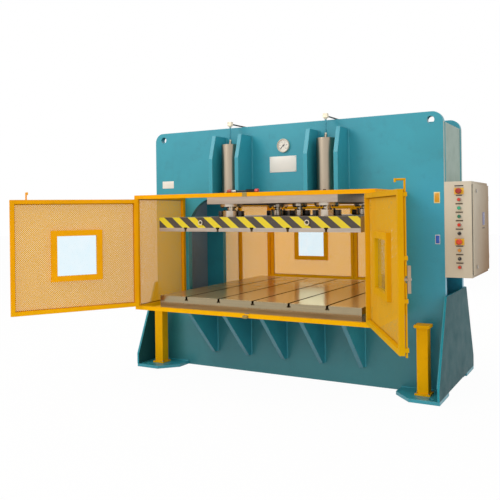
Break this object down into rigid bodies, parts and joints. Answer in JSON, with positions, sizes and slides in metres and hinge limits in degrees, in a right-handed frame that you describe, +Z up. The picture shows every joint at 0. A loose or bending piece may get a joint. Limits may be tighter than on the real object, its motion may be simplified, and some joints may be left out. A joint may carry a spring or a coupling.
{
  "type": "hydraulic press",
  "caption": "Hydraulic frame press: cylinders drive a slotted slide over a slotted bolster, inside mesh guards with swing doors, with a control cabinet on the right.",
  "frame": {"origin": "on the floor, in the middle of the four anchor holes", "axes": "+X to the right seen from the operator's side, +Y to the rear, +Z up"},
  "size_m": [2.984, 3.1963, 2.095],
  "materials": {
    "frame_paint": "satin teal paint",
    "machined_plate": "milled steel, hazard stripes on the slide front",
    "cylinder_steel": "turned steel",
    "rod_chrome": "hard chrome",
    "guard_paint": "satin yellow paint",
    "guard_mesh": "perforated sheet, yellow paint",
    "pane": "clear",
    "pipe_steel": "dark steel",
    "elbow_brass": "plain",
    "gauge_metal": "plain",
    "black_plastic": "black",
    "cabinet_paint": "textured beige paint",
    "cabinet_zinc": "zinc and chrome",
    "plate_yellow": "yellow and black plates",
    "red_plastic": "red",
    "green_plastic": "green",
    "amber_plastic": "amber"
  },
  "bodies": {
    "frame": {"front_plate": "frame_paint", "rear_plate": "frame_paint", "side_webs": "frame_paint", "column_webs": "frame_paint", "crown_webs": "frame_paint", "side_plates": "frame_paint", "foot_plates": "frame_paint", "bed_plate": "frame_paint", "bed_webs": "frame_paint", "bed_gussets": "frame_paint", "cylinder_ribs": "frame_paint", "cylinder_plate": "machined_plate", "bolster_plate": "machined_plate", "cylinder_barrels": "cylinder_steel", "gland_flanges": "cylinder_steel", "support_posts": "guard_paint", "front_guard_frame": "guard_paint", "rear_guard_frame": "guard_paint", "front_guard_mesh": "guard_mesh", "rear_guard_mesh": "guard_mesh", "oil_pipes": "pipe_steel", "pipe_elbows": "elbow_brass", "pressure_gauge": "gauge_metal", "cabinet_box": "cabinet_paint", "cabinet_panel": "cabinet_zinc", "control_bezels": "cabinet_zinc", "control_plates": "plate_yellow"},
    "slide": {"slide_platen": "machined_plate", "slide_rods": "rod_chrome", "rod_flanges": "cylinder_steel"},
    "front_left_door": {"front_left_door_frame": "guard_paint", "front_left_door_mesh": "guard_mesh", "front_left_door_pane": "pane"},
    "front_right_door": {"front_right_door_frame": "guard_paint", "front_right_door_mesh": "guard_mesh", "front_right_door_pane": "pane"},
    "rear_left_door": {"rear_left_door_frame": "guard_paint", "rear_left_door_mesh": "guard_mesh", "rear_left_door_pane": "pane"},
    "rear_right_door": {"rear_right_door_frame": "guard_paint", "rear_right_door_mesh": "guard_mesh", "rear_right_door_pane": "pane"},
    "cabinet_door": {"cabinet_door": "cabinet_paint"},
    "front_left_door_hook": {"front_left_door_hook": "guard_paint"},
    "right_lever": {"right_lever": "cabinet_zinc"},
    "right_hook_upper": {"right_hook_upper": "guard_paint"},
    "right_foot_bolt": {"right_foot_bolt": "guard_paint"},
    "gauge_needle": {"gauge_needle": "black_plastic"},
    "door_lock_upper": {"door_lock_upper": "cabinet_zinc"},
    "door_lock_lower": {"door_lock_lower": "cabinet_zinc"},
    "stop_upper": {"stop_upper": "red_plastic"},
    "stop_lower": {"stop_lower": "red_plastic"},
    "button_one": {"button_one": "red_plastic"},
    "button_two": {"button_two": "green_plastic"},
    "button_three": {"button_three": "green_plastic"},
    "button_four": {"button_four": "red_plastic"},
    "button_five": {"button_five": "amber_plastic"},
    "button_six": {"button_six": "red_plastic"},
    "selector_upper": {"selector_upper": "black_plastic"},
    "selector_lower": {"selector_lower": "black_plastic"}
  },
  "joints": [
    {"name": "slide_stroke", "type": "slide", "parent": "frame", "child": "slide", "axis": [0, 0, -1], "range_m": [0, 0.4]},
    {"name": "front_left_hinge", "type": "hinge", "parent": "frame", "child": "front_left_door", "pos_m": [-0.973, -0.9925, 1], "axis": [0, 0, 1], "range_deg": [-8, 122]},
    {"name": "front_right_hinge", "type": "hinge", "parent": "frame", "child": "front_right_door", "pos_m": [0.973, -0.9925, 1], "axis": [0, 0, -1], "range_deg": [-8, 119.4]},
    {"name": "rear_left_hinge", "type": "hinge", "parent": "frame", "child": "rear_left_door", "pos_m": [-0.973, 1.3295, 1], "axis": [0, 0, 1], "range_deg": [0, 130]},
    {"name": "rear_right_hinge", "type": "hinge", "parent": "frame", "child": "rear_right_door", "pos_m": [0.973, 1.3295, 1], "axis": [0, 0, -1], "range_deg": [0, 130]},
    {"name": "cabinet_hinge", "type": "hinge", "parent": "frame", "child": "cabinet_door", "pos_m": [1.4915, 0.3, 1.19], "axis": [0, 0, 1], "range_deg": [0, 110]},
    {"name": "left_hook_drop", "type": "slide", "parent": "front_left_door", "child": "front_left_door_hook", "axis": [0, 0, -1], "range_m": [0, 0.009]},
    {"name": "upper_hook_draw", "type": "slide", "parent": "front_right_door", "child": "right_hook_upper", "axis": [0, 0, -1], "range_m": [0, 0.009]},
    {"name": "foot_bolt_drive", "type": "slide", "parent": "front_right_door", "child": "right_foot_bolt", "axis": [0, 0, -1], "range_m": [0, 0.0092]},
    {"name": "lever_turn", "type": "hinge", "parent": "front_right_door", "child": "right_lever", "pos_m": [1.43403, -1.83004, 0.99125], "axis": [-0.8712, -0.4909, 0], "range_deg": [0, 91]},
    {"name": "needle_turn", "type": "hinge", "parent": "frame", "child": "gauge_needle", "pos_m": [0.01, -0.325, 1.881], "axis": [0, 1, 0], "range_deg": [0, 270], "stiffness_Nm_per_rad": 0.02},
    {"name": "door_lock_lower_turn", "type": "hinge", "parent": "cabinet_door", "child": "door_lock_lower", "pos_m": [1.495, -0.209, 0.926], "axis": [1, 0, 0], "range_deg": [0, 90]},
    {"name": "door_lock_upper_turn", "type": "hinge", "parent": "cabinet_door", "child": "door_lock_upper", "pos_m": [1.495, -0.209, 1.473], "axis": [1, 0, 0], "range_deg": [0, 90]},
    {"name": "button_one_press", "type": "slide", "parent": "frame", "child": "button_one", "axis": [0, 1, 0], "range_m": [0, 0.004], "stiffness_N_per_m": 500},
    {"name": "button_two_press", "type": "slide", "parent": "frame", "child": "button_two", "axis": [0, 1, 0], "range_m": [0, 0.004], "stiffness_N_per_m": 500},
    {"name": "button_three_press", "type": "slide", "parent": "frame", "child": "button_three", "axis": [0, 1, 0], "range_m": [0, 0.004], "stiffness_N_per_m": 500},
    {"name": "button_four_press", "type": "slide", "parent": "frame", "child": "button_four", "axis": [0, 1, 0], "range_m": [0, 0.004], "stiffness_N_per_m": 500},
    {"name": "button_five_press", "type": "slide", "parent": "frame", "child": "button_five", "axis": [0, 1, 0], "range_m": [0, 0.004], "stiffness_N_per_m": 500},
    {"name": "button_six_press", "type": "slide", "parent": "frame", "child": "button_six", "axis": [0, 1, 0], "range_m": [0, 0.004], "stiffness_N_per_m": 500},
    {"name": "stop_upper_press", "type": "slide", "parent": "frame", "child": "stop_upper", "axis": [0, 1, 0], "range_m": [0, 0.005]},
    {"name": "stop_lower_press", "type": "slide", "parent": "frame", "child": "stop_lower", "axis": [0, 1, 0], "range_m": [0, 0.005]},
    {"name": "selector_upper_turn", "type": "hinge", "parent": "frame", "child": "selector_upper", "pos_m": [1.3995, -0.31, 1.171], "axis": [0, 1, 0], "range_deg": [-45, 45]},
    {"name": "selector_lower_turn", "type": "hinge", "parent": "frame", "child": "selector_lower", "pos_m": [1.3995, -0.31, 0.9892], "axis": [0, 1, 0], "range_deg": [-45, 45]}
  ],
  "couplings": [
    {"joint": "foot_bolt_drive", "follows": "upper_hook_draw", "ratio": 1},
    {"joint": "lever_turn", "follows": "upper_hook_draw", "rad_per_m": 174.5}
  ]
}
